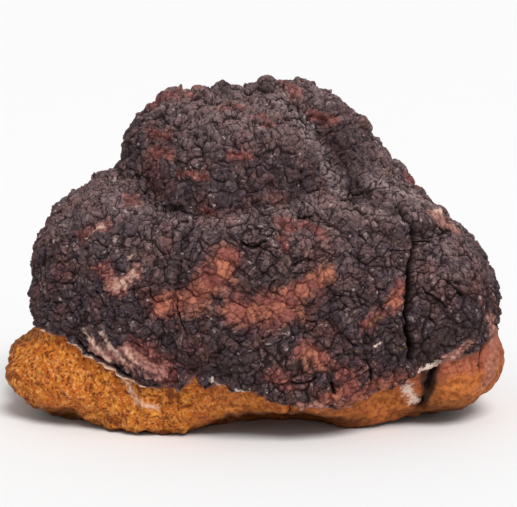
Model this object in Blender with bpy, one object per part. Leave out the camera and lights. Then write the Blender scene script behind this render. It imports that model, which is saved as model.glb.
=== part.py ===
"""A chaga conk in one solid: a cracked black crust over rusty flesh, cut flat off its birch.

Metres, +Z up. The front faces -Y. The origin is on the flat cut, under the middle of the conk.
Square grids on a cube are blown up onto lobes that run into each other. The lumps of the crust,
its lower edge and two deep fissures are then worked into that skin.
"""

from itertools import product
from math import radians

import bmesh
import bpy
import numpy as np

NAME = "chaga_conk"

# The lobes that the conk grew as: centre, radii, and how wide a lobe blends into those above it.
LOBES = {
    "belly": ((0.006, -0.004, 0.048), (0.107, 0.080, 0.070), 0.000),
    "left_shoulder": ((-0.057, -0.002, 0.066), (0.046, 0.058, 0.049), 0.012),
    "right_lobe": ((0.069, -0.010, 0.053), (0.050, 0.058, 0.046), 0.008),
    "right_rim": ((0.083, -0.014, 0.026), (0.039, 0.048, 0.025), 0.008),
    "brow": ((0.001, -0.026, 0.078), (0.080, 0.046, 0.032), 0.016),
    "right_flank": ((0.050, 0.020, 0.082), (0.037, 0.042, 0.045), 0.006),
    "upper_left": ((-0.022, 0.004, 0.110), (0.042, 0.044, 0.044), 0.010),
    "summit": ((0.017, 0.012, 0.112), (0.045, 0.040, 0.047), 0.020),
    "head": ((-0.005, -0.019, 0.106), (0.047, 0.042, 0.046), 0.004),
    "right_shelf": ((0.058, -0.021, 0.096), (0.032, 0.036, 0.010), 0.008),
    "back_lump": ((-0.027, 0.038, 0.058), (0.060, 0.042, 0.046), 0.008),
    "back_right": ((0.053, 0.044, 0.048), (0.046, 0.040, 0.042), 0.006),
    "left_foot": ((-0.072, -0.006, 0.021), (0.052, 0.050, 0.027), 0.008),
    "front_foot": ((-0.042, -0.030, 0.013), (0.040, 0.038, 0.027), 0.010),
}
# A hollow under the front of the rim: centre, radii and blend.
ARCH = ((0.011, -0.072, -0.003), (0.042, 0.040, 0.016), 0.004)
# A valley that runs down between the head and the right flank: its two ends, radius and blend.
CLEFT = ((0.024, -0.026, 0.148), (0.047, -0.040, 0.110), 0.010, 0.010)
CUT_ROUNDING = 0.003

# Swells over the lobes: the size of a swell, and how far it lifts the surface.
SWELLS = ((0.034, 0.0030), (0.015, 0.0012))
SWELL_OFFSET = 17.3

# The lumps of the crust: their size, how far they stray from rows, their rise, the share of that
# rise that is sunk into the lobes, and the width of the crease between two lumps.
LUMP = 0.0165
LUMP_STRAY = 0.75
LUMP_RISE = 0.0042
LUMP_SUNK = 0.3
CREASE = 0.0040
# A point of the grid within this share of its spacing from a crease is drawn into it.
DRAW = 0.38

# The crust's lower edge: its height above the cut, by degrees around from the front to the right.
EDGE = {
    -180: 0.020, -155: 0.012, -125: 0.024, -95: 0.043, -62: 0.041, -50: 0.034, -42: 0.028,
    -32: 0.026, -22: 0.031, -14: 0.027, -3: 0.028, 6: 0.024, 12: 0.017, 26: 0.013, 48: 0.012,
    56: 0.024, 64: 0.035, 90: 0.044, 118: 0.030, 150: 0.014, 180: 0.020,
}
# How far the crust stands over the flesh at that edge, and the height that the step takes.
EDGE_STEP = 0.0018
EDGE_SLOPE = 0.0030

# Fissures in the front: points across and up, then the half width and the depth.
MAIN_FISSURE = (
    ((0.067, 0.104), (0.070, 0.099), (0.073, 0.093), (0.073, 0.087), (0.071, 0.080),
     (0.071, 0.070), (0.069, 0.061), (0.069, 0.052), (0.071, 0.043), (0.070, 0.037)),
    0.0026, 0.0070,
)
LOW_FISSURE = (((0.084, 0.031), (0.081, 0.022), (0.079, 0.010)), 0.0024, 0.0045)
FISSURES = (MAIN_FISSURE, LOW_FISSURE)

# The point that the skin is seen from, a reach beyond all of the skin, and the halvings that
# find the skin within it.
HEART = np.array((0.0, 0.0, 0.045))
REACH = 0.22
HALVINGS = 26
# Squares along each edge of the cube, and the band at a narrow form that gets smaller ones.
GRID = 27
FINE_BAND = 0.0045
ON_CUT = 1e-6

CRUST = ("crust", (0.060, 0.045, 0.045, 1.0), 0.85)
FLESH = ("flesh", (0.480, 0.170, 0.035, 1.0), 0.80)
SHARP = radians(38)


def unit(vectors):
    return vectors / np.linalg.norm(vectors, axis=-1, keepdims=True)


def lattice_value(corner, channel=0):
    """A number from 0 to 1 for each whole-numbered lattice corner, the same on every run."""
    k = corner.astype(np.int64)
    h = (k[..., 0] * 73856093) ^ (k[..., 1] * 19349663) ^ (k[..., 2] * 83492791)
    h = h ^ (channel * 15485863)
    h = (h ^ (h >> 13)) * 1274126177 & 0x7FFFFFFF
    return ((h ^ (h >> 16)) & 0xFFFF) / 0xFFFF


def swell(points, size):
    """Smooth noise from -1 to 1: lattice values, blended across each cube by a smoothstep."""
    q = points / size + SWELL_OFFSET
    base = np.floor(q)
    f = q - base
    w = f * f * (3 - 2 * f)
    total = np.zeros(len(points))
    for corner in product((0, 1), repeat=3):
        share = np.prod([w[:, a] if step else 1 - w[:, a] for a, step in enumerate(corner)], axis=0)
        total += share * lattice_value(base + corner)
    return 2 * total - 1


def lobe_distance(points, centre, radii):
    """How far points are outside an ellipsoid: k0 (k0 - 1) / k1, close to true near its skin."""
    q = points - np.array(centre)
    r = np.array(radii)
    k0 = np.linalg.norm(q / r, axis=1)
    k1 = np.linalg.norm(q / r**2, axis=1)
    return k0 * (k0 - 1) / np.maximum(k1, 1e-9)


def line_distance(points, start, end):
    """How far points are from the straight line between two ends."""
    a, b = np.array(start), np.array(end)
    along = np.clip((points - a) @ (b - a) / ((b - a) @ (b - a)), 0, 1)
    return np.linalg.norm(points - a - along[:, None] * (b - a), axis=1)


def blend(a, b, width):
    """The smaller of a and b, rounded over where they differ by less than width."""
    if width == 0:
        return np.minimum(a, b)
    h = np.maximum(width - np.abs(a - b), 0) / width
    return np.minimum(a, b) - h * h * width / 4


def outside(points):
    """How far points are outside the flesh, negative within: lobes, swells, arch, cleft and cut."""
    d = np.full(len(points), 1.0)
    for centre, radii, width in LOBES.values():
        d = blend(d, lobe_distance(points, centre, radii), width)
    d += EDGE_STEP
    for size, lift in SWELLS:
        d -= lift * swell(points, size)
    centre, radii, width = ARCH
    d = -blend(-d, lobe_distance(points, centre, radii), width)
    start, end, radius, width = CLEFT
    d = -blend(-d, line_distance(points, start, end) - radius, width)
    return -blend(-d, points[:, 2], CUT_ROUNDING)


def skin(directions):
    """Where rays from the heart leave the flesh, by halving the stretch that holds the skin."""
    low = np.zeros(len(directions))
    high = np.full(len(directions), REACH)
    for _ in range(HALVINGS):
        middle = (low + high) / 2
        inside = outside(HEART + directions * middle[:, None]) < 0
        low = np.where(inside, middle, low)
        high = np.where(inside, high, middle)
    return HEART + directions * low[:, None]


def over_edge(points):
    """How high points are over the crust's lower edge, which is read around the conk."""
    around = np.degrees(np.arctan2(points[:, 0], -points[:, 1]))
    return points[:, 2] - np.interp(around, list(EDGE), list(EDGE.values()))


def lumps(points):
    """How far each point is from the crease round its lump, and the way to that crease.

    A lump is what is nearest to one seed. Each cube of a lattice holds a seed, off its middle.
    """
    q = points / LUMP
    cubes = np.floor(q)[:, None, :] + np.array(list(product((-1, 0, 1), repeat=3)))
    stray = np.stack([lattice_value(cubes, channel) for channel in (1, 2, 3)], axis=-1) - 0.5
    seeds = cubes + 0.5 + LUMP_STRAY * stray
    row = np.arange(len(q))
    own = np.argmin(np.linalg.norm(seeds - q[:, None, :], axis=2), axis=1)
    home = seeds[row, own][:, None, :]
    apart = np.linalg.norm(seeds - home, axis=2)
    apart[row, own] = 1
    to_plane = np.sum(((seeds + home) / 2 - q[:, None, :]) * (seeds - home), axis=2) / apart
    to_plane[row, own] = np.inf
    nearest = np.argmin(to_plane, axis=1)
    return to_plane[row, nearest] * LUMP, unit(seeds[row, nearest] - home[:, 0])


def fissure_distance(points, line):
    """How far points of the front are from a line drawn on it, as seen from straight ahead."""
    seen = points * (1, 0, 1)
    ends = [(x, 0, z) for x, z in line]
    distance = np.min([line_distance(seen, a, b) for a, b in zip(ends, ends[1:])], axis=0)
    return np.where(points[:, 1] < 0, distance, REACH)


def rise(points):
    """How far the skin stands over the flesh: the crust's step and lumps, less the fissures."""
    crust = np.clip(over_edge(points) / EDGE_SLOPE + 0.5, 0, 1)
    domed = 1 - np.exp(-lumps(points)[0] / CREASE)
    total = crust * (EDGE_STEP + LUMP_RISE * (domed - LUMP_SUNK))
    for line, half_width, depth in FISSURES:
        total -= depth * np.clip(1 - fissure_distance(points, line) / half_width, 0, 1)
    return total


def near_edge(points):
    return np.abs(over_edge(points)) < FINE_BAND


def near_fissure(points):
    nearest = np.min([fissure_distance(points, line) for line, _, _ in FISSURES], axis=0)
    return nearest < FINE_BAND


def coordinates(bm):
    return np.array([v.co for v in bm.verts])


def place(bm, points):
    for vertex, point in zip(bm.verts, points):
        vertex.co = point


def refine(bm, is_near):
    """Halve the edges within a band, so that a narrow form there gets enough points."""
    middles = np.array([(e.verts[0].co + e.verts[1].co) / 2 for e in bm.edges])
    near = is_near(skin(unit(middles - HEART)))
    edges = [e for e, chosen in zip(bm.edges, near) if chosen]
    bmesh.ops.subdivide_edges(bm, edges=edges, cuts=1, use_grid_fill=True)
    bmesh.ops.triangulate(bm, faces=[f for f in bm.faces if len(f.verts) > 4])
    place(bm, skin(unit(coordinates(bm) - HEART)))


def draw_into_creases(bm):
    """Move the points beside a crease onto it, so that the creases run along edges."""
    points = coordinates(bm)
    spacing = np.array([np.mean([e.calc_length() for e in v.link_edges]) for v in bm.verts])
    to_crease, way = lumps(points)
    drawn = (to_crease < DRAW * spacing) & (over_edge(points) > CREASE)
    place(bm, skin(unit(points + np.where(drawn, to_crease, 0)[:, None] * way - HEART)))


def close_cut(bm):
    """Make the cut one flat face, then part every face into triangles."""
    cut = [f for f in bm.faces if all(v.co.z < ON_CUT for v in f.verts)]
    bmesh.ops.dissolve_faces(bm, faces=cut, use_verts=True)
    bmesh.ops.triangulate(bm, faces=bm.faces[:], ngon_method="EAR_CLIP")
    bmesh.ops.recalc_face_normals(bm, faces=bm.faces[:])


def conk_mesh():
    bm = bmesh.new()
    bmesh.ops.create_cube(bm, size=2)
    bmesh.ops.subdivide_edges(bm, edges=bm.edges[:], cuts=GRID - 1, use_grid_fill=True)
    # The tangent spreads the cube's grids evenly over the ball of directions.
    place(bm, skin(unit(np.tan(coordinates(bm) * np.pi / 4))))
    for is_near in (near_edge, near_fissure, near_fissure):
        refine(bm, is_near)
    draw_into_creases(bm)
    points = coordinates(bm)
    height = np.where(points[:, 2] < ON_CUT, 0, rise(points))
    place(bm, points + unit(points - HEART) * height[:, None])
    close_cut(bm)
    mesh = bpy.data.meshes.new(NAME)
    bm.to_mesh(mesh)
    bm.free()
    return mesh


def finish_material(name, colour, roughness):
    material = bpy.data.materials.new(name)
    material.use_nodes = True
    shader = material.node_tree.nodes["Principled BSDF"]
    shader.inputs["Base Color"].default_value = colour
    shader.inputs["Roughness"].default_value = roughness
    shader.inputs["Metallic"].default_value = 0.0
    return material


def main():
    for obj in list(bpy.data.objects):
        bpy.data.objects.remove(obj)
    mesh = conk_mesh()
    mesh.shade_smooth()
    mesh.set_sharp_from_angle(angle=SHARP)
    mesh.materials.append(finish_material(*CRUST))
    mesh.materials.append(finish_material(*FLESH))
    middles = np.array([face.center for face in mesh.polygons])
    mesh.polygons.foreach_set("material_index", (over_edge(middles) < 0).astype(np.int32))
    collection = bpy.data.collections.new(NAME)
    bpy.context.scene.collection.children.link(collection)
    collection.objects.link(bpy.data.objects.new(NAME, mesh))


main()
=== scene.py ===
"""The looks of a chaga conk: fine crust, flesh and their finish, a pale floor, light and camera.

Metres, +Z up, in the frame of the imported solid. The form is the solid's own set of lobes and
lumps. On it come the crust's blocks and grains, the fissures and the broken lower edge.
"""

from collections import namedtuple
from itertools import product
from math import cos, pi, radians, sin

import bpy
import numpy as np
from mathutils import Euler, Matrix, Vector


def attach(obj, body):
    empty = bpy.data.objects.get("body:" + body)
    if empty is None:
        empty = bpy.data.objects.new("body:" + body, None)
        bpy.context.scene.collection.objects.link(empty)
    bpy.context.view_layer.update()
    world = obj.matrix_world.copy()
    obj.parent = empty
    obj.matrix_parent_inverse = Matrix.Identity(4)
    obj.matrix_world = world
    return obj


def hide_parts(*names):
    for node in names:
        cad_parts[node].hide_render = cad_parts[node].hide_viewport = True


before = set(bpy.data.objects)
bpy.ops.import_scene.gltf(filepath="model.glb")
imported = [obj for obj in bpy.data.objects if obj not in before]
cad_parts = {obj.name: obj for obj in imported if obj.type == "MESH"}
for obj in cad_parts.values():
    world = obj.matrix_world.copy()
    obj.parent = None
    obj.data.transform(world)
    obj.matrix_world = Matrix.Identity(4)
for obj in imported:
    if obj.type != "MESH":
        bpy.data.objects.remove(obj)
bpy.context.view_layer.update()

NODE = "chaga_conk"

# The form, as in the solid: the lobes' centres, radii and blends, then the hollows under the
# rim, the valley beside the head, and how round the form turns into its cut.
LOBES = {
    "belly": ((0.006, -0.004, 0.048), (0.107, 0.080, 0.070), 0.000),
    "left_shoulder": ((-0.057, -0.002, 0.066), (0.046, 0.058, 0.049), 0.012),
    "right_lobe": ((0.069, -0.010, 0.053), (0.050, 0.058, 0.046), 0.008),
    "right_rim": ((0.083, -0.014, 0.026), (0.039, 0.048, 0.025), 0.008),
    "brow": ((0.001, -0.026, 0.078), (0.080, 0.046, 0.032), 0.016),
    "right_flank": ((0.050, 0.020, 0.082), (0.037, 0.042, 0.045), 0.006),
    "upper_left": ((-0.022, 0.004, 0.110), (0.042, 0.044, 0.044), 0.010),
    "summit": ((0.017, 0.012, 0.112), (0.045, 0.040, 0.047), 0.020),
    "head": ((-0.005, -0.019, 0.106), (0.047, 0.042, 0.046), 0.004),
    "right_shelf": ((0.058, -0.021, 0.096), (0.032, 0.036, 0.010), 0.018),
    "back_lump": ((-0.027, 0.038, 0.058), (0.060, 0.042, 0.046), 0.008),
    "back_right": ((0.053, 0.044, 0.048), (0.046, 0.040, 0.042), 0.006),
    "left_foot": ((-0.072, -0.006, 0.021), (0.052, 0.050, 0.027), 0.008),
    "front_foot": ((-0.042, -0.030, 0.013), (0.040, 0.038, 0.027), 0.010),
}
ARCHES = (
    ((0.011, -0.072, -0.003), (0.042, 0.040, 0.016), 0.004),
    ((0.046, -0.078, -0.004), (0.048, 0.034, 0.012), 0.004),
)
CLEFT = ((0.024, -0.026, 0.148), (0.047, -0.040, 0.110), 0.010, 0.010)
CUT_ROUNDING = 0.003
# The form's swells: the size of their waves, and how far these go.
SWELLS = ((0.034, 0.0030), (0.015, 0.0012))
# The lattice of the noise is shifted by so many of its cubes.
SWELL_OFFSET = 17.3
# How far the flesh lies under the crust of the solid.
EDGE_STEP = 0.0018
# Rays from the heart find the skin. None has to be longer than REACH.
HEART = np.array((0.0, 0.0, 0.045))
REACH = 0.22
HALVINGS = 10
SLOPE_STEP = 0.0004
# What lies lower than this is on the cut, and stays flat.
ON_CUT = 1e-5

# Knobs, and hollows where the rise is below nought: the place, the radius and the rise.
KNOBS = {
    "top": ((-0.012, 0.004, 0.152), 0.0062, 0.0064),
    "beside_top": ((0.000, 0.003, 0.153), 0.0034, 0.0008),
    "summit_left": ((0.008, 0.002, 0.155), 0.0032, 0.0020),
    "top_left": ((-0.030, -0.003, 0.151), 0.0030, 0.0020),
    "top_far_left": ((-0.042, -0.003, 0.147), 0.0060, -0.0022),
    "left_of_head": ((-0.058, -0.006, 0.134), 0.0035, 0.0026),
    "left_neck": ((-0.060, -0.003, 0.121), 0.0080, -0.0034),
    "by_shelf": ((0.054, 0.010, 0.134), 0.0070, 0.0018),
    "before_shelf": ((0.075, 0.017, 0.113), 0.0120, -0.0054),
    "shelf_end": ((0.082, 0.006, 0.108), 0.0030, 0.0030),
    "over_shelf": ((0.086, 0.000, 0.103), 0.0140, -0.0056),
    "past_shelf": ((0.100, -0.014, 0.090), 0.0140, -0.0050),
    "hollow": ((0.061, -0.038, 0.103), 0.0046, -0.0036),
    "summit_right": ((0.028, 0.005, 0.155), 0.0110, -0.0034),
    "right_shoulder": ((0.119, -0.006, 0.060), 0.0200, -0.0030),
    "left_end": ((-0.097, -0.028, 0.051), 0.0120, 0.0050),
    "right_end": ((0.116, -0.030, 0.035), 0.0120, 0.0036),
    "over_foot": ((-0.115, -0.010, 0.034), 0.0130, -0.0065),
    "foot_end": ((-0.114, -0.012, 0.007), 0.0140, -0.0065),
}

# The crust's lower edge: its height at each bearing in degrees, 0 in front and rising to +X.
EDGE = {
    -180: 0.020, -155: 0.012, -125: 0.024, -95: 0.044, -75: 0.047, -61: 0.043, -54: 0.039,
    -48: 0.035, -43: 0.031, -39: 0.028, -31: 0.026, -22: 0.026, -17: 0.034, -14: 0.028,
    -11: 0.030, -5: 0.028, 0: 0.028, 7: 0.023, 13: 0.019, 27: 0.0175, 34: 0.019, 40: 0.022,
    46: 0.024, 51: 0.028, 56: 0.034, 64: 0.038, 73: 0.044, 80: 0.055, 92: 0.050, 118: 0.030,
    150: 0.014, 180: 0.020,
}
# How far on each side of it flesh goes over into crust.
EDGE_SOFTNESS = 0.0006

# Lines on the front: a half width, then points across and up. A groove has a depth as well.
GROOVES = {
    "main": (0.0018, 0.0060, (
        (0.067, 0.104), (0.070, 0.099), (0.073, 0.093), (0.073, 0.087), (0.071, 0.080),
        (0.071, 0.070), (0.069, 0.061), (0.069, 0.052), (0.071, 0.043), (0.070, 0.037))),
    "low": (0.0020, 0.0045, ((0.084, 0.031), (0.081, 0.022), (0.079, 0.010))),
    "left_of_main": (0.0006, 0.0012, ((0.062, 0.087), (0.066, 0.086), (0.071, 0.085))),
    "right_of_main": (0.0006, 0.0012, ((0.074, 0.089), (0.080, 0.087), (0.086, 0.084))),
    "slanting": (0.0007, 0.0016, ((0.077, 0.070), (0.083, 0.064), (0.088, 0.060))),
    "slanting_short": (0.0009, 0.0018, ((0.089, 0.070), (0.095, 0.064))),
    "brow_ledge": (0.0009, 0.0020, ((-0.004, 0.092), (0.001, 0.090), (0.007, 0.091))),
    "head_gap": (0.0009, 0.0020, ((0.017, 0.101), (0.028, 0.101))),
    "low_gap": (0.0008, 0.0014, ((0.019, 0.032), (0.024, 0.0325), (0.028, 0.034))),
    "low_nick": (0.0010, 0.0022, ((0.036, 0.031), (0.038, 0.026))),
    "low_right": (0.0010, 0.0024, ((0.053, 0.034), (0.053, 0.027), (0.047, 0.017))),
    "rim_nick": (0.0010, 0.0022, ((0.018, 0.020), (0.017, 0.015))),
    "left_crack": (0.0009, 0.0018, ((-0.031, 0.066), (-0.028, 0.054))),
    "right_end": (0.0011, 0.0026, ((0.110, 0.044), (0.107, 0.037), (0.106, 0.031), (0.109, 0.020))),
    "over_lip": (0.0011, 0.0020, (
        (-0.078, 0.043), (-0.074, 0.0405), (-0.067, 0.0375), (-0.060, 0.0335), (-0.053, 0.030))),
}
# Between these shares of its half width, from its edge inward, a groove goes down to its depth.
GROOVE_SIDE = (-0.1, 0.7)
# The thin lip over the foot, how high it rises, and between which of such shares it does.
LIP = {"lip": (0.0010, (
    (-0.094, 0.044), (-0.084, 0.0425), (-0.075, 0.0385), (-0.066, 0.0345), (-0.059, 0.031),
    (-0.052, 0.0275), (-0.046, 0.026)))}
LIP_RISE = 0.0009
LIP_SIDE = (0.0, 0.8)
# Where the black crust has worn off, to rust and to red.
RUST = {
    "belly_left": (0.0062, ((-0.010, 0.085), (-0.013, 0.079), (-0.019, 0.073), (-0.023, 0.067))),
    "belly_far_left": (0.0048, ((-0.029, 0.065), (-0.038, 0.063))),
    "belly_middle": (0.0066, ((-0.006, 0.063), (0.002, 0.063), (0.010, 0.064), (0.017, 0.066))),
    "belly_right": (0.0040, ((0.016, 0.070), (0.024, 0.073), (0.034, 0.077))),
    "low": (0.0048, ((0.024, 0.045), (0.031, 0.041))),
    "by_fissure": (0.0040, ((0.066, 0.070), (0.063, 0.064))),
    "low_right": (0.0040, ((0.067, 0.030), (0.060, 0.028), (0.052, 0.026))),
    "low_far_right": (0.0050, ((0.050, 0.024), (0.042, 0.020))),
    "low_edge": (0.0038, ((0.044, 0.028), (0.034, 0.023))),
    "foot_right": (0.0040, ((0.060, 0.016), (0.069, 0.013))),
    "edge_right": (0.0022, ((0.111, 0.060), (0.112, 0.054))),
}
RED = {
    "head_low": (0.0017, ((-0.032, 0.120), (-0.026, 0.120), (-0.019, 0.119))),
    "summit": (0.0038, ((0.018, 0.156), (0.022, 0.152))),
    "summit_right": (0.0028, ((0.029, 0.142), (0.037, 0.140))),
    "top_left": (0.0042, ((-0.046, 0.148), (-0.037, 0.150), (-0.028, 0.151))),
    "top_middle": (0.0034, ((-0.011, 0.146), (-0.003, 0.146))),
    "top_spot": (0.0020, ((0.003, 0.143), (0.008, 0.140))),
    "far_left": (0.0026, ((-0.045, 0.134), (-0.037, 0.133))),
    "head_left": (0.0034, ((-0.043, 0.127), (-0.035, 0.126))),
    "head_middle": (0.0026, ((-0.007, 0.128), (-0.001, 0.128))),
    "head_spot": (0.0018, ((-0.019, 0.104), (-0.016, 0.103))),
    "brow": (0.0030, ((0.013, 0.099), (0.018, 0.096))),
    "brow_low": (0.0022, ((0.014, 0.093), (0.016, 0.089))),
    "brow_right": (0.0030, ((0.024, 0.097), (0.029, 0.095), (0.032, 0.093))),
    "left": (0.0030, ((-0.055, 0.106), (-0.053, 0.103))),
    "low_right": (0.0040, ((0.039, 0.036), (0.044, 0.029))),
    "low_middle": (0.0034, ((0.010, 0.036), (0.018, 0.031))),
    "left_of_fibres": (0.0036, ((-0.066, 0.078), (-0.058, 0.070))),
    "left_low": (0.0036, ((-0.075, 0.090), (-0.065, 0.095))),
    "over_lip": (0.0056, ((-0.050, 0.043), (-0.041, 0.038), (-0.036, 0.034))),
    "by_rust": (0.0030, ((0.058, 0.060), (0.051, 0.056))),
}
# Where the crust is thin and tan, and where it is chipped and pale.
TAN = {
    "over_lip": (0.0034, ((-0.070, 0.044), (-0.061, 0.040), (-0.054, 0.036))),
    "over_lip_right": (0.0042, ((-0.056, 0.042), (-0.047, 0.038), (-0.041, 0.035))),
    "fibres": (0.0042, ((-0.060, 0.071), (-0.050, 0.077))),
    "shelf": (0.0028, ((0.080, 0.100), (0.087, 0.096), (0.096, 0.089))),
    "right_end": (0.0050, ((0.108, 0.052), (0.111, 0.040), (0.112, 0.031), (0.109, 0.022))),
    "rim": (0.0028, ((0.022, 0.021), (0.033, 0.020))),
    "over_right_flesh": (0.0034, ((0.088, 0.038), (0.098, 0.042))),
}
PALE = {
    "white_patch": (0.0040, ((0.070, 0.023), (0.073, 0.018), (0.075, 0.014))),
    "over_patch": (0.0022, ((0.077, 0.032), (0.081, 0.034), (0.084, 0.035))),
    "chip": (0.0010, ((0.054, 0.047), (0.056, 0.048))),
    "rim_chips": (0.0016, ((-0.006, 0.029), (-0.001, 0.027))),
    "rim_chips_left": (0.0014, ((-0.017, 0.033), (-0.014, 0.030))),
}
# Soft pale streaks, of which noise leaves a part.
STREAKS = {
    "fibres": (0.0036, ((-0.058, 0.071), (-0.051, 0.076))),
    "fibres_up": (0.0020, ((-0.055, 0.081), (-0.052, 0.084))),
    "over_lip": (0.0026, ((-0.075, 0.048), (-0.068, 0.043), (-0.062, 0.038))),
    "over_lip_middle": (0.0030, ((-0.066, 0.049), (-0.061, 0.044), (-0.056, 0.037))),
    "over_lip_last": (0.0022, ((-0.054, 0.043), (-0.049, 0.036))),
    "vein": (0.0034, ((-0.057, 0.027), (-0.054, 0.022), (-0.051, 0.017))),
    "vein_low": (0.0022, ((-0.054, 0.020), (-0.048, 0.018), (-0.042, 0.015))),
    "left_edge": (0.0020, ((-0.094, 0.044), (-0.080, 0.041), (-0.070, 0.037))),
    "shelf": (0.0012, ((0.084, 0.099), (0.091, 0.095), (0.099, 0.088))),
    "left": (0.0026, ((-0.073, 0.090), (-0.066, 0.094))),
}
# Where the crust is paler with dust and painted light, and where painted shade makes crust and flesh
# darker than elsewhere.
DUST_AND_LIGHT = {
    "ridge": (0.0054, ((0.013, 0.146), (0.022, 0.138), (0.033, 0.122), (0.041, 0.107))),
    "over_shelf": (0.0046, ((0.058, 0.111), (0.068, 0.107), (0.078, 0.103), (0.086, 0.098))),
}
# Painted shade: the valley, the hollows and the low bands, darker on crust and flesh.
DARK = {
    "top": (0.0060, ((-0.013, 0.154), (-0.011, 0.149))),
    "beside_summit": (0.0060, ((0.001, 0.153), (0.008, 0.153))),
    "valley": (0.0095, ((0.038, 0.132), (0.046, 0.118), (0.051, 0.106))),
    "hollow": (0.0055, ((0.058, 0.102), (0.067, 0.101))),
    "low_right": (0.0080, ((0.062, 0.040), (0.080, 0.044), (0.095, 0.052))),
    "low_left": (0.0080, ((-0.035, 0.045), (-0.020, 0.038), (-0.005, 0.038))),
    "right_end": (0.0110, ((0.110, 0.052), (0.114, 0.040), (0.112, 0.026))),
}
# Olive specks on the crust, and the flesh that is darker beside the low fissure.
LICHEN = {
    "left": (0.0011, ((0.039, 0.043), (0.047, 0.045))),
    "right": (0.0010, ((0.063, 0.044), (0.068, 0.044))),
    "speck": (0.0010, ((0.056, 0.051), (0.059, 0.053))),
    "by_rust": (0.0013, ((0.058, 0.059), (0.052, 0.056))),
}
DARKER_BY_FISSURE = {"low_fissure": (0.0046, ((0.083, 0.033), (0.082, 0.024), (0.079, 0.012)))}
MARKS = {
    "rust": RUST, "red": RED, "tan": TAN, "pale": PALE, "lip": LIP, "streak": STREAKS,
    "dust_and_light": DUST_AND_LIGHT, "dark": DARK, "lichen": LICHEN, "darker_by_fissure": DARKER_BY_FISSURE,
}
# The value of a mark where nothing of it is left.
FAR_OFF = -3.0
# Lines are carried back over this stretch, in so many looks at where the skin is.
FRONT, BEYOND, LOOKS = -0.10, 0.03, 300

# Each use of the noise has a channel of its own: 0 for the form, 1 to 9 for the cells' seeds,
# and those below.

# Patches on the back and the sides: the size of the waves, the least that shows, the channel.
SCATTERED = {
    "rust": (0.019, 0.50, 41),
    "red": (0.014, 0.48, 42),
    "pale": (0.007, 0.72, 43),
    "tan": (0.013, 0.70, 44),
}
PATCH_STEEPNESS = 3.0
# The cracks wander: the size of their waves, and how far these go. It takes three channels.
WANDERING = ((0.0090, 0.0010), (0.0038, 0.0006), (0.0017, 0.0003))
WANDER_CHANNEL = 11
# Waves as size, reach and channel, in the flesh, along the crust's edge, in how tan the crust
# is, in how wide its cracks are, and in its roughness.
FLESH_WAVES = ((0.0090, 0.0017, 20), (0.0042, 0.0012, 20), (0.0019, 0.0006, 20))
EDGE_WAVES = ((0.0019, 0.0011, 22), (0.0050, 0.0020, 23))
TAN_WAVES = ((0.0050, 0.35, 24),)
CRACK_WAVES = ((0.0070, 0.5, 25),)
CRUST_WAVES = ((0.0014, 0.00014, 26),)
# How strong a crack is, and three tones for each cell.
STRENGTH_CHANNEL = 31
TONE_CHANNEL = 32

# The crust's cells at three sizes: how far their seeds stray, the first of their channels, how
# weak a crack may be, how much looser cells lie at the top, how high a crumb stands, and how far
# from its middle a crack is dark. Pairs are for the crust's left and for its lower right: how
# deep, how wide and how dark the cracks are, how proud a cell may stand, how far it leans.
Cells = namedtuple(
    "Cells", "size stray channel weakest loose crumb shade depth width dark proud lean")
LEVELS = {
    "lump": Cells(
        size=0.0165, stray=0.75, channel=1, weakest=1.0, loose=0.0, crumb=0.0, shade=0.0006,
        depth=(0.0030, 0.0013), width=(0.0034, 0.0006), dark=(0.0, 0.7),
        proud=(0.0, 0.0), lean=(0.0, 0.0)),
    "block": Cells(
        size=0.0060, stray=1.0, channel=4, weakest=0.25, loose=0.8, crumb=0.0, shade=0.00055,
        depth=(0.0017, 0.0015), width=(0.0009, 0.0004), dark=(0.9, 0.95),
        proud=(0.0014, 0.0007), lean=(0.14, 0.12)),
    "grain": Cells(
        size=0.0025, stray=1.0, channel=7, weakest=0.25, loose=0.0, crumb=0.0006, shade=0.00045,
        depth=(0.0007, 0.0007), width=(0.0003, 0.00028), dark=(0.75, 0.75),
        proud=(0.0003, 0.0003), lean=(0.16, 0.16)),
}
# Crumbs are the grains whose last tone is over this.
CRUMB_TONE = 0.94
# A crack that has this value at a point neither lowers nor lifts the crust there.
CRACK_MIDDLE = 0.35
# How far the crust as a whole stands over the solid's.
RAISED = 0.0010
# Blocks and grains are laid out askew, so that no crack follows an axis for long.
ASKEW = np.array(Euler((0.6, 0.9, 0.4)).to_matrix())
# Points closer to a crack than this share of their spacing are moved onto it.
DRAWN_SHARE = 0.46

# Stretches over which the looks change, from the first number to the second. The lower right
# lies past the first two: across from the left, and down from the head.
ACROSS = (-0.045, 0.020)
DOWN = (0.110, 0.088)
FAR_RIGHT = (0.055, 0.085)
TO_BACK = (-0.015, 0.020)
LOOSE_TOP = (0.128, 0.150)
# The crust's edge is calm over the foot, with this share of its waves, and then turns ragged.
CALM_TO_RAGGED = (-0.050, -0.030)
CALM_SHARE = 0.4
# How far a place is within tan crust for the relief to get weaker, and by which share it does
# at the left and at the lower right. The cracks keep a share of their darkness there.
TAN_SIDE = (-0.2, 0.5)
TAN_WEAKENING = (0.60, 0.25)
LEAST_DARKNESS = 0.4
# How strong the flesh's waves are at the left and at the lower right.
FLESH_STRENGTH = (1.0, 0.75)

# The mesh: squares along a side of its cube, and a ball stretched and raised over the heart,
# through which the rays go, so that few points lie on the cut.
SQUARES = 280
RAY_STRETCH = (0.120, 0.088, 0.098)
RAY_RISE = (0.0, -0.012, 0.045)
POINTS_AT_A_TIME = 8000
CELLS_AT_A_TIME = 20000
MILLIMETRES = 1000
PIECES = (
    "flesh_front", "flesh_back", "crust_head",
    "crust_front_left", "crust_front_right", "crust_back_left", "crust_back_right",
)
# Where the pieces part: left from right, front from back, head from the rest.
PARTING = (0.005, 0.0, 0.118)

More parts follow.
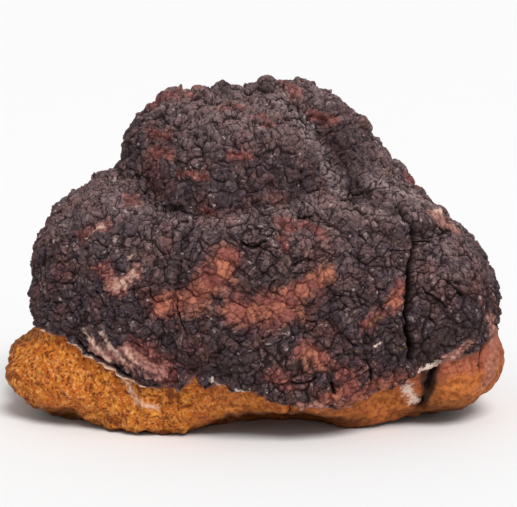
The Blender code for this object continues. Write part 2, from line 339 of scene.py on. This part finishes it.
# The finish's colours, in screen values from 0 to 255.
COLOURS = {
    "cool_crust": (67, 54, 60),
    "warm_crust": (86, 62, 58),
    "blush": (116, 58, 52),
    "dust_and_top_light_crust": (152, 126, 125),
    "dust_and_light_crust": (172, 150, 148),
    "dark_grains": (34, 19, 19),
    "light_grains": (170, 146, 142),
    # Painted glints on single cells of the crust.
    "crumbs": (206, 190, 184),
    "painted_shade_crust": (48, 36, 38),
    "deep_red": (108, 50, 46),
    "light_red": (174, 98, 86),
    "deep_rust": (150, 84, 74),
    "light_rust": (190, 118, 90),
    "grains_in_rust": (96, 48, 38),
    "gap": (27, 11, 10),
    "gap_in_rust": (74, 30, 24),
    "groove": (18, 7, 5),
    "deep_flesh": (176, 88, 24),
    "golden_flesh": (208, 134, 46),
    "right_flesh": (184, 102, 56),
    "pinkish_flesh": (158, 86, 72),
    "painted_shade_flesh": (122, 60, 42),
    "painted_underside_shade": (60, 28, 12),
    "light_specks": (240, 184, 116),
    "stains": (104, 42, 10),
    "pits": (96, 38, 10),
    "darker_by_fissure": (58, 38, 32),
    "deep_skin": (120, 70, 60),
    "light_skin": (196, 142, 127),
    "pale": (228, 204, 190),
    "streaks": (222, 187, 167),
    "lip": (232, 196, 170),
    "lichen": (148, 128, 70),
}

FLOOR_RADIUS = 12
FLOOR_GREY = 0.9
FLOOR_ROUGHNESS = 0.9
# The world lights the conk at half its strength, and the camera sees it as white as the floor.
WORLD_AS_LIGHT, WORLD_AS_SEEN = 0.5, 1.0
SUN_PLACE = (0.30, -0.90, 1.15)
SUN_TARGET = (0, 0, 0.05)
SUN_STRENGTH = 2.5
SUN_WIDTH = radians(25)
CAMERA_TARGET = Vector((0.004, -0.004, 0.0753))
CAMERA_DISTANCE = 0.85
CAMERA_RISE = radians(10)
CAMERA_LENS, CAMERA_SENSOR = 122.5, 36


def unit(vectors):
    """Vectors of length one, in the same directions."""
    return vectors / np.linalg.norm(vectors, axis=-1, keepdims=True)


def smooth(x, start, end):
    """0 up to start, 1 from end on, and a smoothstep between."""
    t = np.clip((x - start) / (end - start), 0, 1)
    return t * t * (3 - 2 * t)


def toward(start, end, share):
    """From start to end in a straight line, as share goes from 0 to 1."""
    return start + (end - start) * share


def lattice_value(corner, channel):
    """A number from 0 to 1 for each whole-numbered lattice corner, the same on every run."""
    k = corner.astype(np.int64)
    h = (k[..., 0] * 73856093) ^ (k[..., 1] * 19349663) ^ (k[..., 2] * 83492791)
    h = h ^ (channel * 15485863)
    h = (h ^ (h >> 13)) * 1274126177 & 0x7FFFFFFF
    return ((h ^ (h >> 16)) & 0xFFFF) / 0xFFFF


def swell(points, size, channel=0):
    """Smooth noise from -1 to 1: lattice values, blended across each cube by a smoothstep."""
    q = points / size + SWELL_OFFSET
    base = np.floor(q)
    f = q - base
    w = f * f * (3 - 2 * f)
    total = np.zeros(len(points))
    for corner in product((0, 1), repeat=3):
        share = np.prod([w[:, a] if step else 1 - w[:, a] for a, step in enumerate(corner)], axis=0)
        total += share * lattice_value(base + corner, channel)
    return 2 * total - 1


def waves(points, table):
    """Noise in waves: the sum of reach * swell over a table's sizes, reaches and channels."""
    return sum(reach * swell(points, size, channel) for size, reach, channel in table)


def lobe_distance(points, centre, radii):
    """How far points are outside an ellipsoid: k0 (k0 - 1) / k1, close to true near its skin."""
    q = points - np.array(centre)
    r = np.array(radii)
    k0 = np.linalg.norm(q / r, axis=1)
    k1 = np.linalg.norm(q / r**2, axis=1)
    return k0 * (k0 - 1) / np.maximum(k1, 1e-9)


def line_distance(points, start, end):
    """How far points are from the straight line between two ends."""
    a, b = np.array(start), np.array(end)
    along = np.clip((points - a) @ (b - a) / ((b - a) @ (b - a)), 0, 1)
    return np.linalg.norm(points - a - along[:, None] * (b - a), axis=1)


def blend(a, b, width):
    """The smaller of a and b, rounded over where they differ by less than width."""
    if width == 0:
        return np.minimum(a, b)
    h = np.maximum(width - np.abs(a - b), 0) / width
    return np.minimum(a, b) - h * h * width / 4


def outside(points):
    """How far points are outside the flesh, negative within: lobes, swells, hollows and cut."""
    d = np.full(len(points), 1.0)
    for centre, radii, width in LOBES.values():
        d = blend(d, lobe_distance(points, centre, radii), width)
    d += EDGE_STEP
    for size, lift in SWELLS:
        d -= lift * swell(points, size)
    for centre, radii, width in ARCHES:
        d = -blend(-d, lobe_distance(points, centre, radii), width)
    start, end, radius, width = CLEFT
    d = -blend(-d, line_distance(points, start, end) - radius, width)
    return -blend(-d, points[:, 2], CUT_ROUNDING)


def skin(directions):
    """Where rays from the heart leave the flesh.

    The stretch of each ray that holds the skin is halved again and again, and the skin is where
    the straight line through the distances at its two ends comes to nought.
    """
    low, high = np.zeros(len(directions)), np.full(len(directions), REACH)
    at_low, at_high = (outside(HEART + directions * t[:, None]) for t in (low, high))
    for _ in range(HALVINGS):
        middle = (low + high) / 2
        d = outside(HEART + directions * middle[:, None])
        inside = d < 0
        low, at_low = np.where(inside, middle, low), np.where(inside, d, at_low)
        high, at_high = np.where(inside, high, middle), np.where(inside, at_high, d)
    reach = low - at_low * (high - low) / (at_high - at_low)
    return HEART + directions * reach[:, None]


def slope(points):
    """The slope of the distance outside the flesh, which points outward, by differences."""
    steps = np.eye(3) * SLOPE_STEP
    pairs = [outside(points + step) - outside(points - step) for step in steps]
    return np.stack(pairs, axis=1) / (2 * SLOPE_STEP)


def over_edge(points):
    """How high points are over the crust's lower edge, which is read around the conk."""
    around = np.degrees(np.arctan2(points[:, 0], -points[:, 1]))
    return points[:, 2] - np.interp(around, list(EDGE), list(EDGE.values()))


def carried_onto_skin(line):
    """The points of a line drawn on the front, carried straight back to the skin.

    A point that misses the skin goes to where it comes closest to it.
    """
    x, z = np.array(line).T[:, :, None]
    way = np.stack(np.broadcast_arrays(x, np.linspace(FRONT, BEYOND, LOOKS), z), axis=-1)
    out = outside(way.reshape(-1, 3)).reshape(way.shape[:2])
    met = np.where((out < 0).any(axis=1), np.argmax(out < 0, axis=1), np.argmin(out, axis=1))
    return way[np.arange(len(way)), met]


def within(points, half_width, line):
    """1 on a line along the skin, 0 at its half width and less further off, down to FAR_OFF."""
    ends = carried_onto_skin(line)
    reach = half_width * (1 - FAR_OFF)
    low, high = ends.min(axis=0) - reach, ends.max(axis=0) + reach
    near = np.all((points > low) & (points < high), axis=1)
    distance = np.min([line_distance(points[near], a, b) for a, b in zip(ends, ends[1:])], axis=0)
    value = np.full(len(points), FAR_OFF)
    value[near] = np.maximum(1 - distance / half_width, FAR_OFF)
    return value


def marked(points, marks):
    """How far points are within the nearest of the marks of one kind."""
    return np.max([within(points, *mark) for mark in marks.values()], axis=0)


def scattered(points, size, least, channel):
    """Patches of noise for the back and the sides: 0 at a patch's edge and more within it."""
    at_back = smooth(points[:, 1], *TO_BACK)
    patch = np.maximum(PATCH_STEEPNESS * (swell(points, size, channel) - least), FAR_OFF)
    return patch * at_back + FAR_OFF * (1 - at_back)


NEIGHBOURS = np.array(list(product((-1, 0, 1), repeat=3)))


def cells(place, level):
    """The Voronoi cell of each place: edge distance, way to that edge, own and next cube, seed.

    Every cube of a lattice holds one seed. A place belongs to the seed nearest to it, and its
    cell ends at the plane midway to the neighbour for which that plane is the nearest.
    """
    q = place / level.size
    base = np.floor(q).astype(int)
    low = base.min(axis=0) - 1
    shape = base.max(axis=0) + 2 - low
    cubes = low + np.moveaxis(np.indices(shape), 0, -1).reshape(-1, 3)
    stray = [lattice_value(cubes, level.channel + axis) for axis in range(3)]
    seeds = cubes + 0.5 + level.stray * (np.stack(stray, axis=-1) - 0.5)
    steps = np.array((shape[1] * shape[2], shape[2], 1))
    found = []
    for rows in np.array_split(np.arange(len(q)), max(1, len(q) // CELLS_AT_A_TIME)):
        index = ((base[rows] - low) @ steps)[:, None] + NEIGHBOURS @ steps
        to_seed = seeds[index] - q[rows][:, None, :]
        row = np.arange(len(rows))
        own = np.argmin(np.sum(to_seed**2, axis=2), axis=1)
        to_own = to_seed[row, own][:, None, :]
        across = to_seed - to_own
        apart = np.linalg.norm(across, axis=2)
        apart[row, own] = 1
        to_plane = np.sum((to_seed + to_own) / 2 * across, axis=2) / apart
        to_plane[row, own] = np.inf
        near = np.argmin(to_plane, axis=1)
        way = across[row, near] / apart[row, near][:, None]
        found.append((to_plane[row, near] * level.size, way, index[row, own], index[row, near]))
    distance, way, own, near = (np.concatenate(column) for column in zip(*found))
    return distance, way, cubes[own], cubes[near], seeds[own] * level.size


def in_parts(work, points):
    """The same work on a few thousand points at a time, which keeps it small in memory."""
    parts = np.array_split(points, max(1, len(points) // POINTS_AT_A_TIME))
    return np.concatenate([work(part) for part in parts])


def wander(points):
    """Where a point lies in the pattern of the cracks: its own place, moved about by waves."""
    place = points.copy()
    for size, reach in WANDERING:
        for axis in range(3):
            place[:, axis] += reach * swell(points, size, WANDER_CHANNEL + axis)
    return place


def ball(squares):
    """Points and four-sided faces of a closed ball: six square grids on a cube, joined.

    Point (i, j) of a grid lies at tan(pi/4 * i/n), tan(pi/4 * j/n) on its side of the cube, which
    spreads the points evenly over the ball. Points of two grids at one place become one.
    """
    steps = np.arange(-squares, squares + 1, 2)
    i, j = np.meshgrid(steps, steps, indexing="ij")
    corner = np.arange(i.size).reshape(i.shape)
    quads = np.stack([corner[:-1, :-1], corner[1:, :-1], corner[1:, 1:], corner[:-1, 1:]], axis=-1)
    quads = quads.reshape(-1, 4)
    places, faces = [], []
    for axis in range(3):
        for sign in (-1, 1):
            side = np.stack([np.full(i.size, sign * squares), i.ravel(), j.ravel()], axis=1)
            faces.append(quads[:, ::sign] + i.size * len(places))
            places.append(np.roll(side, axis, axis=1))
    places = np.concatenate(places)
    key = (places + squares) @ ((2 * squares + 1) ** np.arange(3))
    _, first, index = np.unique(key, return_index=True, return_inverse=True)
    directions = unit(np.tan(places[first] / squares * pi / 4))
    return directions, index.reshape(-1)[np.concatenate(faces)]


def drawn_into_cracks(points, spacing):
    """Move points that lie beside a crack onto it, so that the crack runs along the mesh."""
    place = in_parts(wander, points) @ ASKEW
    move = np.zeros_like(points)
    for name in ("grain", "block"):
        distance, way, _, _, _ = cells(place, LEVELS[name])
        near = distance < DRAWN_SHARE * spacing
        move = np.where(near[:, None], way @ ASKEW.T * distance[:, None], move)
    in_crust = (over_edge(points) > 0)[:, None]
    return points + np.where(in_crust, move, 0)


def onto_skin(points):
    """Points beside the skin moved onto it, and the way outward there: one step down the slope."""
    way = in_parts(slope, points)
    steep = np.sum(way**2, axis=1, keepdims=True)
    back = in_parts(outside, points)[:, None] * way / steep
    return points - back, way / np.sqrt(steep)


def spacing_of(points, faces):
    """How far each point is from the next: the root of the area that it stands for."""
    a, b, c, d = (points[faces[:, k]] for k in range(4))
    area = np.linalg.norm(np.cross(c - a, d - b), axis=1) / 2
    return np.sqrt(np.bincount(faces.ravel(), np.repeat(area / 4, 4), len(points)))


def crust_relief(points, place, right, broken):
    """How lumps, blocks and grains lift the crust, how far each point is in a crack, and tones.

    A crack's depth falls off as exp(-distance / width) on both sides, and its darkness in a
    straight line. A cell stands proud by a number of its own, and leans by others across it.
    """
    uneven = 1 + waves(points, CRACK_WAVES)
    at_top = smooth(points[:, 2], *LOOSE_TOP)
    lift = np.full(len(points), EDGE_STEP + RAISED)
    gap = np.full(len(points), -1.0)
    tones = {}
    for name, level in LEVELS.items():
        where = place if name == "lump" else place @ ASKEW
        distance, _, own, near, seed = cells(where, level)
        pairs = (level.depth, level.width, level.dark, level.proud, level.lean)
        depth, width, dark, proud, lean = (toward(*pair, right) for pair in pairs)
        strength = toward(level.weakest, 1, lattice_value(own + near, STRENGTH_CHANNEL))
        crack = np.exp(-distance / (width * uneven)) * strength
        tone = [lattice_value(own, TONE_CHANNEL + turn) for turn in range(3)]
        lift += depth * (CRACK_MIDDLE - crack) * broken
        raised = proud * (2 * tone[0] - 1) * (1 + level.loose * at_top)
        raised += level.crumb * (tone[2] > CRUMB_TONE)
        raised += lean * np.sum((where - seed) * (np.stack(tone, axis=1) - 0.5), axis=1)
        lift += raised * (1 - crack) * broken
        dark = dark * strength * toward(LEAST_DARKNESS, 1, broken)
        gap = np.maximum(gap, dark - distance / (level.shade * uneven))
        tones[name] = tone[1]
    lift += waves(points, CRUST_WAVES)
    return lift, gap, tones


def surface_of(points, normals):
    """Lift the skin's points into crust and flesh, and name what the finish needs at each."""
    x, _, z = points.T
    place = in_parts(wander, points)
    # Where a point lies among the marks: moved about by the same waves, but along the skin.
    drift = place - points
    among = points + drift - normals * np.sum(drift * normals, axis=1, keepdims=True)
    marks = {name: marked(among, lines) for name, lines in MARKS.items()}
    for name, patches in SCATTERED.items():
        marks[name] = np.maximum(marks[name], scattered(points, *patches))
    marks["tan"] += waves(points, TAN_WAVES)
    ragged = toward(CALM_SHARE, 1, smooth(x, *CALM_TO_RAGGED))
    over = over_edge(points) + waves(points, EDGE_WAVES) * ragged
    in_crust = smooth(over, -EDGE_SOFTNESS, EDGE_SOFTNESS)
    right = smooth(x, *ACROSS) * smooth(z, *DOWN)
    broken = 1 - toward(*TAN_WEAKENING, right) * smooth(marks["tan"], *TAN_SIDE)
    lift, gap, tones = crust_relief(points, place, right, broken)
    strong = toward(*FLESH_STRENGTH, right)
    lift = in_crust * lift + (1 - in_crust) * waves(points, FLESH_WAVES) * strong
    for spot, radius, rise in KNOBS.values():
        lift += rise * np.exp(-np.sum((points - spot) ** 2, axis=1) / radius**2)
    groove = np.full(len(points), -1.0)
    for half_width, depth, line in GROOVES.values():
        inside = within(among, half_width, line)
        lift -= depth * smooth(inside, *GROOVE_SIDE)
        groove = np.maximum(groove, inside)
    lift += LIP_RISE * smooth(marks["lip"], *LIP_SIDE)
    lift[z < ON_CUT] = 0
    moved = points + normals * lift[:, None]
    moved[:, 2] = np.maximum(moved[:, 2], 0)
    return moved, {
        "crust_place": place,
        "over_edge": over * MILLIMETRES,
        "upward": normals[:, 2],
        "gap": gap * in_crust,
        "groove": groove,
        "right": right,
        "far_right": smooth(x, *FAR_RIGHT),
        "grain_tone": tones["grain"],
        "block_tone": tones["block"],
        **marks,
    }


def triangles_of(faces, height):
    """Each four-sided face as two triangles, parted between its two lower corners."""
    low = height[faces]
    flip = (low[:, 1] + low[:, 3]) < (low[:, 0] + low[:, 2])
    first = np.where(flip[:, None], faces[:, [0, 1, 3]], faces[:, [0, 1, 2]])
    second = np.where(flip[:, None], faces[:, [1, 2, 3]], faces[:, [0, 2, 3]])
    return np.stack([first, second], axis=1)


def vertex_normals(points, triangles):
    """Each point's normal: its triangles' normals, added up by their areas."""
    a, b, c = (points[triangles[:, k]] for k in range(3))
    normal = np.repeat(np.cross(b - a, c - a), 3, axis=0)
    total = [np.bincount(triangles.ravel(), normal[:, k], len(points)) for k in range(3)]
    return unit(np.stack(total, axis=1))


def build_piece(name, points, normals, triangles, named):
    """One piece of the conk: a patch of its skin, closed by flat sides that meet at the heart."""
    used, local = np.unique(triangles, return_inverse=True)
    local = local.reshape(-1, 3)
    count = len(used)
    starts, ends = local.ravel(), np.roll(local, -1, axis=1).ravel()
    on_border = ~np.isin(starts * count + ends, ends * count + starts)
    sides = np.stack([ends[on_border], starts[on_border], np.full(on_border.sum(), count)], axis=1)
    corners = np.concatenate([local, sides])
    mesh = bpy.data.meshes.new(name)
    mesh.vertices.add(count + 1)
    mesh.vertices.foreach_set("co", np.vstack([points[used], HEART]).astype(np.float32).ravel())
    mesh.loops.add(corners.size)
    mesh.loops.foreach_set("vertex_index", corners.astype(np.int32).ravel())
    mesh.polygons.add(len(corners))
    mesh.polygons.foreach_set("loop_start", np.arange(0, corners.size, 3, dtype=np.int32))
    mesh.update(calc_edges=True)
    for key, values in named.items():
        wide = values.ndim == 2
        attribute = mesh.attributes.new(key, "FLOAT_VECTOR" if wide else "FLOAT", "POINT")
        kept = np.concatenate([values[used], values[used[:1]]]).astype(np.float32)
        attribute.data.foreach_set("vector" if wide else "value", kept.ravel())
    mesh.shade_smooth()
    # The sides within the conk get normals of nought, which leaves them their own.
    shading = np.concatenate([normals[used][local.ravel()], np.zeros((sides.size, 3))])
    mesh.normals_split_custom_set(shading.astype(np.float32))
    piece = bpy.data.objects.new(name, mesh)
    bpy.context.scene.collection.objects.link(piece)
    return piece


def piece_of(points):
    """The number of each point's piece: crust by whole lumps, by their seeds, and the flesh."""
    across, back, up = PARTING
    seed = cells(points, LEVELS["lump"])[-1]
    quarter = 2 * (seed[:, 1] > back) + (seed[:, 0] > across)
    rest = PIECES.index("crust_front_left") + quarter
    crust = np.where(seed[:, 2] > up, PIECES.index("crust_head"), rest)
    return np.where(over_edge(points) > 0, crust, points[:, 1] > back)


def build_conk():
    """The conk's skin, its relief and the pieces that it is parted into."""
    directions, faces = ball(SQUARES)
    points = in_parts(skin, unit(directions * RAY_STRETCH + RAY_RISE))
    points, normals = onto_skin(drawn_into_cracks(points, spacing_of(points, faces)))
    belongs = piece_of(points)
    moved, named = surface_of(points, normals)
    split = triangles_of(faces, np.sum((moved - points) * normals, axis=1))
    shading = vertex_normals(moved, split.reshape(-1, 3))
    of_face = belongs[faces[:, 0]]
    return [
        build_piece(name, moved, shading, split[of_face == index].reshape(-1, 3), named)
        for index, name in enumerate(PIECES)
    ]


class Value:
    """A number in a finish. An expression on Values adds its Math nodes."""

    def __init__(self, finish, socket):
        self.finish = finish
        self.socket = socket

    def __add__(self, other):
        return self.finish.math("ADD", self, other)

    def __sub__(self, other):
        return self.finish.math("SUBTRACT", self, other)

    def __rsub__(self, other):
        return self.finish.math("SUBTRACT", other, self)

    def __mul__(self, other):
        return self.finish.math("MULTIPLY", self, other)

    __radd__ = __add__
    __rmul__ = __mul__


def rgb(red, green, blue):
    """The linear colour of 0 to 255 screen values, by the curve of screens."""
    screen = np.array((red, green, blue)) / 255
    linear = np.where(screen <= 0.04045, screen / 12.92, ((screen + 0.055) / 1.055) ** 2.4)
    return (*linear.tolist(), 1.0)


class Finish:
    """A material in the making. Every node comes from node(), which returns its outputs."""

    def __init__(self, name):
        self.material = bpy.data.materials.new(name)
        self.material.use_nodes = True
        self.tree = self.material.node_tree
        self.tree.nodes.clear()

    def node(self, kind, settings, inputs):
        """Add a node: settings first, then its inputs by name or number, as values or links."""
        made = self.tree.nodes.new("ShaderNode" + kind)
        for name, value in settings.items():
            setattr(made, name, value)
        enabled = {socket.name: socket for socket in reversed(made.inputs) if socket.enabled}
        for name, value in inputs.items():
            socket = made.inputs[name] if isinstance(name, int) else enabled[name]
            if isinstance(value, Value):
                self.tree.links.new(value.socket, socket)
            else:
                socket.default_value = value
        return {s.name: Value(self, s) for s in reversed(made.outputs) if s.enabled}

    def math(self, operation, a, b):
        return self.node("Math", {"operation": operation}, {0: a, 1: b})["Value"]

    def attribute(self, name, output="Fac"):
        return self.node("Attribute", {"attribute_name": name}, {})[output]

    def noise(self, place, size, detail, roughness):
        """Noise about 0 to 1 whose largest waves are of this size."""
        inputs = {"Vector": place, "Scale": 1 / size, "Detail": detail, "Roughness": roughness}
        return self.node("TexNoise", {"noise_dimensions": "3D"}, inputs)["Fac"]

    def crumbs(self, place, size):
        """Cells of this size: a random number for each, and the distance from its middle."""
        made = self.node("TexVoronoi", {}, {"Vector": place, "Scale": 1 / size})
        red = self.node("SeparateColor", {}, {"Color": made["Color"]})["Red"]
        return red, made["Distance"]

    def rising(self, value, start, end):
        """0 up to start, 1 from end on, and a smooth step between."""
        settings = {"interpolation_type": "SMOOTHSTEP"}
        inputs = {"Value": value, "From Min": start, "From Max": end}
        return self.node("MapRange", settings, inputs)["Result"]

    def between(self, share, a, b):
        """The colour that goes from a to b as share goes from 0 to 1. Words are of COLOURS."""
        a, b = (rgb(*COLOURS[c]) if isinstance(c, str) else c for c in (a, b))
        inputs = {"Factor": share, "A": a, "B": b}
        return self.node("Mix", {"data_type": "RGBA", "blend_type": "MIX"}, inputs)["Result"]

    def layered(self, colour, layers):
        """A colour with others laid over it in turn, each to its share."""
        for share, laid_over in layers:
            colour = self.between(share, colour, laid_over)
        return colour


class Surface:
    """What the colours of a finish go by: attributes of the mesh and noise of several sizes."""

    def __init__(self, f):
        place = f.attribute("crust_place", "Vector")
        self.place = place
        self.up = f.attribute("upward")
        self.over = f.attribute("over_edge")
        self.right = f.attribute("right")
        self.gap = f.rising(f.attribute("gap"), 0.0, 0.6)
        self.grain = f.attribute("grain_tone")
        self.block = f.attribute("block_tone")
        self.dust = f.noise(place, 0.0008, 2.0, 0.6)
        self.fine = f.noise(place, 0.0020, 3.0, 0.6)
        self.middling = f.noise(place, 0.0080, 3.0, 0.6)
        self.blush = f.noise(place, 0.0160, 2.0, 0.5)
        self.broad = f.noise(place, 0.0300, 3.0, 0.55)
        self.crumb, self.from_crumb = f.crumbs(place, 0.0013)
        self.in_crust = f.rising(self.over + self.fine - 0.5, -0.4, 0.4)
        # Painted shade in the marked dark places, broken up by noise.
        self.dark = f.rising(f.attribute("dark") + 0.8 * self.middling - 0.4, -0.2, 1.0)
        # How light a spot of the crust is, and speckles that break up the edges of marks.
        self.tone = self.grain * 0.40 + self.crumb * 0.45 + self.dust * 0.8 + self.fine * 0.4
        self.speckled = (
            1.1 * self.middling + 0.7 * self.fine + 0.4 * self.grain + 0.2 * self.crumb - 1.2)


def crust_colour(f, at):
    """Cool to warm brown-black, lighter on upward faces (dust and painted top light) and on single
    grains (some painted glints), with painted shade in dark places and cracks, worn to red and rust.
    """
    warm = f.rising(at.middling + 0.5 * at.broad + 0.2 * at.block, 0.65, 1.15)
    # Dust with painted light: the crust paler on the ridge and over the shelf.
    dust_and_light = f.rising(f.attribute("dust_and_light") + 2.0 * at.fine + at.middling - 1.5, -0.4, 0.9)
    red = f.rising(f.attribute("red") + at.speckled + 0.5 * at.grain - 0.25, -0.6, 1.1)
    rust = f.rising(f.attribute("rust") + at.speckled, -0.6, 0.9)
    light_rust = f.rising(at.block + at.fine - at.middling, 0.2, 1.0)
    rusty = f.between(light_rust, "deep_rust", "light_rust")
    worn = f.math("MAXIMUM", rust, red * 0.8)
    return f.layered(f.between(warm, "cool_crust", "warm_crust"), (
        (0.4 * f.rising(at.blush + 0.2 * at.fine, 0.58, 0.78), "blush"),
        # Upward faces paler: grey dust, with painted top light.
        (0.6 * f.rising(at.up + 0.8 * at.middling, 0.5, 1.6), "dust_and_top_light_crust"),
        (0.5 * dust_and_light, "dust_and_light_crust"),
        (0.65 * f.rising(at.tone, 1.12, 0.65), "dark_grains"),
        (0.4 * f.rising(at.tone, 1.10, 1.60), "light_grains"),
        # Painted glints: sparse light specks on single cells.
        (0.38 * f.rising(at.crumb + 0.3 * at.fine, 1.12, 1.16), "crumbs"),
        # Painted shade on the crust in the marked dark places.
        (0.68 * at.dark, "painted_shade_crust"),
        (0.65 * red, f.between(f.rising(at.tone, 0.8, 1.5), "deep_red", "light_red")),
        (0.86 * rust, f.between(0.45 * f.rising(at.tone, 1.12, 0.6), rusty, "grains_in_rust")),
        # The cracks' own dark colour, with painted shade laid into them.
        (at.gap * (0.9 - 0.3 * worn), f.between(worn, "gap", "gap_in_rust")),
    ))


def flesh_colour(f, at):
    """Ochre with brown mottles, smoother and redder at the right, with painted shade where it faces
    down and in the marked dark places.
    """
    golden = f.rising(0.7 * at.broad + 0.6 * at.middling + 0.6 * at.fine, 0.75, 1.15)
    pinkish = f.attribute("far_right") * f.rising(at.over + 8.0 * at.middling, -9.0, 0.0)
    specks = f.rising(at.dust + 0.3 * at.crumb, 0.66, 0.86)
    mottle = f.noise(at.place, 0.0034, 3.0, 0.7)
    stained = f.rising(mottle + 0.5 * at.broad + 0.2 * at.dust, 0.79, 0.95)
    pit, from_pit = f.crumbs(at.place, 0.0021)
    pits = f.rising(from_pit, 0.50, 0.15) * f.rising(pit + at.middling, 0.6, 1.1)
    darker_by_fissure = f.rising(f.attribute("darker_by_fissure") + at.middling - 0.5, 0.0, 0.5)
    return f.layered(f.between(golden, "deep_flesh", "golden_flesh"), (
        (0.6 * at.right, "right_flesh"),
        (0.85 * pinkish, "pinkish_flesh"),
        # Painted shade on the flesh in the marked dark places.
        (0.6 * at.dark, "painted_shade_flesh"),
        (specks * (0.5 - 0.35 * at.right), "light_specks"),
        (stained * (0.85 - 0.25 * at.right), "stains"),
        (pits * (0.85 - 0.4 * at.right), "pits"),
        # Painted shade on the flesh where it faces down.
        (0.8 * f.rising(at.up, -0.6, -0.95), "painted_underside_shade"),
        (0.9 * darker_by_fissure, "darker_by_fissure"),
    ))


def marked_colour(f, at, colour):
    """A colour with the crust's tan edge, the marks on crust and flesh, and the dark grooves."""
    light_skin = f.rising(at.fine + at.middling * 0.4, 0.45, 0.95)
    skin_tone = f.between(light_skin, "deep_skin", "light_skin")
    band = f.rising(f.math("ABSOLUTE", at.over, 0.0) + 1.6 * at.fine, 2.2, 0.9)
    tan = f.rising(f.attribute("tan") + at.speckled, -0.25, 0.7)
    tan = tan * f.math("MAXIMUM", at.in_crust, 0.6 * at.right)
    pale = f.rising(f.attribute("pale") + 2.8 * at.fine + 1.2 * at.dust - 2.1, 0.0, 0.8)
    streak = f.rising(f.attribute("streak") + 1.8 * at.fine + 1.2 * at.middling - 1.7, 0.0, 1.0)
    lip = f.rising(f.attribute("lip") + 0.8 * at.fine - 0.4, 0.1, 0.6)
    lichen = f.rising(f.attribute("lichen") + 3.0 * at.fine - 1.8, 0.0, 0.8)
    return f.layered(colour, (
        (0.55 * band, skin_tone),
        (tan * 0.8 * (1 - 0.6 * at.gap), skin_tone),
        (0.88 * pale, "pale"),
        (0.68 * streak, "streaks"),
        (0.8 * lip, "lip"),
        (0.5 * lichen, "lichen"),
        (0.96 * f.rising(f.attribute("groove"), 0.1, 0.5), "groove"),
    ))


def finish_of_conk():
    """The one finish of the conk, which tells crust from flesh by the mesh's attributes."""
    f = Finish("crust_and_flesh")
    at = Surface(f)
    colour = f.between(at.in_crust, flesh_colour(f, at), crust_colour(f, at))
    rough = f.noise(at.place, 0.0012, 4.0, 0.7)
    relief = at.in_crust * (at.crumb * 0.4 - at.from_crumb * 0.5) + rough
    bump = f.node("Bump", {}, {"Height": relief, "Distance": 0.0004, "Strength": 0.8})["Normal"]
    shader = f.node("BsdfPrincipled", {}, {
        "Base Color": marked_colour(f, at, colour),
        "Roughness": 0.55 + 0.35 * at.fine,
        "Specular IOR Level": 0.16,
        "Normal": bump,
    })["BSDF"]
    f.node("OutputMaterial", {}, {"Surface": shader})
    return f.material


def build_floor():
    """A wide pale floor at the height of the cut."""
    bpy.ops.mesh.primitive_circle_add(vertices=96, radius=FLOOR_RADIUS, fill_type="NGON")
    floor = bpy.context.object
    floor.name = "floor"
    material = bpy.data.materials.new("floor")
    material.use_nodes = True
    shader = material.node_tree.nodes["Principled BSDF"]
    shader.inputs["Base Color"].default_value = (FLOOR_GREY, FLOOR_GREY, FLOOR_GREY, 1)
    shader.inputs["Roughness"].default_value = FLOOR_ROUGHNESS
    floor.data.materials.append(material)


def aim(obj, target):
    """Turn a light or a camera to look at a place."""
    obj.rotation_mode = "QUATERNION"
    obj.rotation_quaternion = (Vector(target) - obj.location).to_track_quat("-Z", "Y")


def build_light():
    """A white world all around, and a wide sun from the front, high up."""
    world = bpy.data.worlds.new("studio")
    bpy.context.scene.world = world
    world.use_nodes = True
    tree = world.node_tree
    tree.nodes["Background"].inputs["Color"].default_value = (1, 1, 1, 1)
    seen = tree.nodes.new("ShaderNodeLightPath").outputs["Is Camera Ray"]
    strength = tree.nodes.new("ShaderNodeMapRange")
    strength.inputs["To Min"].default_value = WORLD_AS_LIGHT
    strength.inputs["To Max"].default_value = WORLD_AS_SEEN
    tree.links.new(seen, strength.inputs["Value"])
    tree.links.new(strength.outputs["Result"], tree.nodes["Background"].inputs["Strength"])
    sun = bpy.data.lights.new("soft_key", "SUN")
    sun.energy = SUN_STRENGTH
    sun.angle = SUN_WIDTH
    obj = bpy.data.objects.new("soft_key", sun)
    obj.location = SUN_PLACE
    aim(obj, SUN_TARGET)
    bpy.context.scene.collection.objects.link(obj)


def build_camera():
    """A long lens in front of the conk, a little raised."""
    camera = bpy.data.cameras.new("camera")
    camera.sensor_width = CAMERA_SENSOR
    camera.lens = CAMERA_LENS
    obj = bpy.data.objects.new("camera", camera)
    obj.location = CAMERA_TARGET + CAMERA_DISTANCE * Vector((0, -cos(CAMERA_RISE), sin(CAMERA_RISE)))
    aim(obj, CAMERA_TARGET)
    bpy.context.scene.collection.objects.link(obj)
    bpy.context.scene.camera = obj


build_camera()
build_floor()
build_light()
finish = finish_of_conk()
for piece in build_conk():
    piece.data.materials.append(finish)
    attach(piece, "root")
    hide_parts(NODE)
bpy.context.scene.view_settings.view_transform = "Standard"
